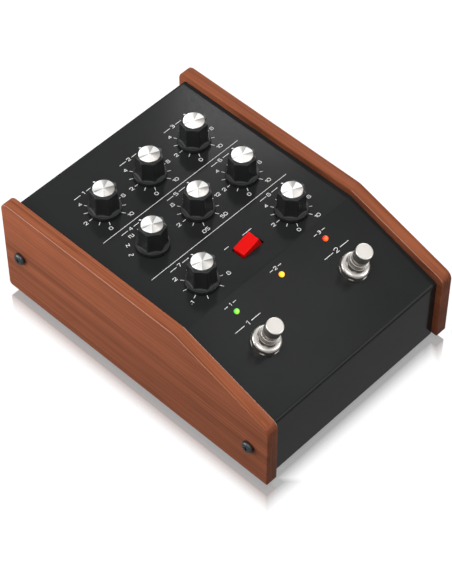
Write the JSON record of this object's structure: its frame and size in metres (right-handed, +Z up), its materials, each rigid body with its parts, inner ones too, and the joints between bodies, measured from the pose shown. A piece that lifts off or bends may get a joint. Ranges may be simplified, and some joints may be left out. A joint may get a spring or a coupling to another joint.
{
  "type": "analog delay pedal",
  "caption": "Sloping black steel effects pedal between wooden cheeks, with fluted dial knobs, a red rocker switch, indicator lamps and sprung footswitches.",
  "frame": {"origin": "on the floor, under the middle of the object's box", "axes": "+X to the right, +Y to the rear where the sockets are, +Z up"},
  "size_m": [0.174, 0.23, 0.1005],
  "materials": {
    "powder_coated_steel": "fine satin powder coat",
    "mahogany": "satin oiled, straight grain",
    "black_oxide_steel": "satin black",
    "zinc_plated_steel": "bright zinc plate",
    "black_rubber": "moulded matt",
    "circuit_board": "solder mask",
    "brass": "turned",
    "grey_ribbon": "extruded",
    "blue_sleeve": "shrink sleeve",
    "black_plastic": "moulded",
    "gloss_black_plastic": "moulded gloss",
    "spun_aluminium": "spun face",
    "red_plastic": "moulded satin",
    "green_lamp": "clear tinted, lit",
    "amber_lamp": "clear tinted, lit",
    "red_lamp": "clear tinted, lit",
    "polished_nickel": "polished"
  },
  "bodies": {
    "case": {"top_cover": "powder_coated_steel", "base_tray": "powder_coated_steel", "left_cheek": "mahogany", "right_cheek": "mahogany", "cheek_screws": "black_oxide_steel", "cheek_nuts": "zinc_plated_steel", "base_screws": "black_oxide_steel", "rubber_feet": "black_rubber", "control_board": "circuit_board", "main_board": "circuit_board", "board_spacers": "brass", "board_screws": "zinc_plated_steel", "ribbon_cable": "grey_ribbon", "delay_chips": "black_plastic", "capacitors": "blue_sleeve", "pot_bodies": "zinc_plated_steel", "selector_body": "black_plastic", "pot_washers": "zinc_plated_steel", "pot_nuts": "zinc_plated_steel", "rocker_housing": "black_plastic", "rocker_pin": "zinc_plated_steel", "led_green": "green_lamp", "led_amber": "amber_lamp", "led_red": "red_lamp", "led_holders": "black_plastic", "footswitch_bodies": "polished_nickel", "footswitch_washers": "polished_nickel", "footswitch_nuts": "polished_nickel", "jack_bodies": "black_plastic", "jack_nuts": "polished_nickel", "power_inlet": "black_plastic", "left_spring": "zinc_plated_steel", "right_spring": "zinc_plated_steel"},
    "drive_control": {"knob_drive": "gloss_black_plastic", "knob_cap_drive": "spun_aluminium", "shaft_drive": "zinc_plated_steel"},
    "level_control": {"knob_level": "gloss_black_plastic", "knob_cap_level": "spun_aluminium", "shaft_level": "zinc_plated_steel"},
    "mix_control": {"knob_mix": "gloss_black_plastic", "knob_cap_mix": "spun_aluminium", "shaft_mix": "zinc_plated_steel"},
    "wave_control": {"knob_wave": "gloss_black_plastic", "knob_cap_wave": "spun_aluminium", "shaft_wave": "zinc_plated_steel"},
    "rate_control": {"knob_rate": "gloss_black_plastic", "knob_cap_rate": "spun_aluminium", "shaft_rate": "zinc_plated_steel"},
    "amount_control": {"knob_amount": "gloss_black_plastic", "knob_cap_amount": "spun_aluminium", "shaft_amount": "zinc_plated_steel"},
    "time_control": {"knob_time": "gloss_black_plastic", "knob_cap_time": "spun_aluminium", "shaft_time": "zinc_plated_steel"},
    "feedback_control": {"knob_feedback": "gloss_black_plastic", "knob_cap_feedback": "spun_aluminium", "shaft_feedback": "zinc_plated_steel"},
    "rocker_switch": {"rocker": "red_plastic"},
    "left_footswitch": {"left_button": "polished_nickel"},
    "right_footswitch": {"right_button": "polished_nickel"}
  },
  "joints": [
    {"name": "drive_turn", "type": "hinge", "parent": "case", "child": "drive_control", "pos_m": [-0.04, 0.0665, 0.0805], "axis": [0, 0, -1], "range_deg": [-150, 150]},
    {"name": "level_turn", "type": "hinge", "parent": "case", "child": "level_control", "pos_m": [0, 0.0665, 0.0805], "axis": [0, 0, -1], "range_deg": [-150, 150]},
    {"name": "mix_turn", "type": "hinge", "parent": "case", "child": "mix_control", "pos_m": [0.04, 0.0665, 0.0805], "axis": [0, 0, -1], "range_deg": [-150, 150]},
    {"name": "wave_turn", "type": "hinge", "parent": "case", "child": "wave_control", "pos_m": [-0.04, 0.024, 0.0805], "axis": [0, 0, -1], "range_deg": [-60, 90]},
    {"name": "rate_turn", "type": "hinge", "parent": "case", "child": "rate_control", "pos_m": [0, 0.024, 0.0805], "axis": [0, 0, -1], "range_deg": [-150, 150]},
    {"name": "amount_turn", "type": "hinge", "parent": "case", "child": "amount_control", "pos_m": [0.04, 0.024, 0.0805], "axis": [0, 0, -1], "range_deg": [-150, 150]},
    {"name": "time_turn", "type": "hinge", "parent": "case", "child": "time_control", "pos_m": [-0.04, -0.0185, 0.0805], "axis": [0, 0, -1], "range_deg": [-150, 150]},
    {"name": "feedback_turn", "type": "hinge", "parent": "case", "child": "feedback_control", "pos_m": [0.04, -0.0185, 0.0805], "axis": [0, 0, -1], "range_deg": [-150, 150]},
    {"name": "rocker_tilt", "type": "hinge", "parent": "case", "child": "rocker_switch", "pos_m": [0, -0.019, 0.0777], "axis": [0, 1, 0], "range_deg": [0, 27.2]},
    {"name": "left_press", "type": "slide", "parent": "case", "child": "left_footswitch", "axis": [0, 0.322, -0.9467], "range_m": [0, 0.0025], "stiffness_N_per_m": 2000, "springref_m": -0.002, "deforming": ["left_spring"]},
    {"name": "right_press", "type": "slide", "parent": "case", "child": "right_footswitch", "axis": [0, 0.322, -0.9467], "range_m": [0, 0.0025], "stiffness_N_per_m": 2000, "springref_m": -0.002, "deforming": ["right_spring"]}
  ]
}
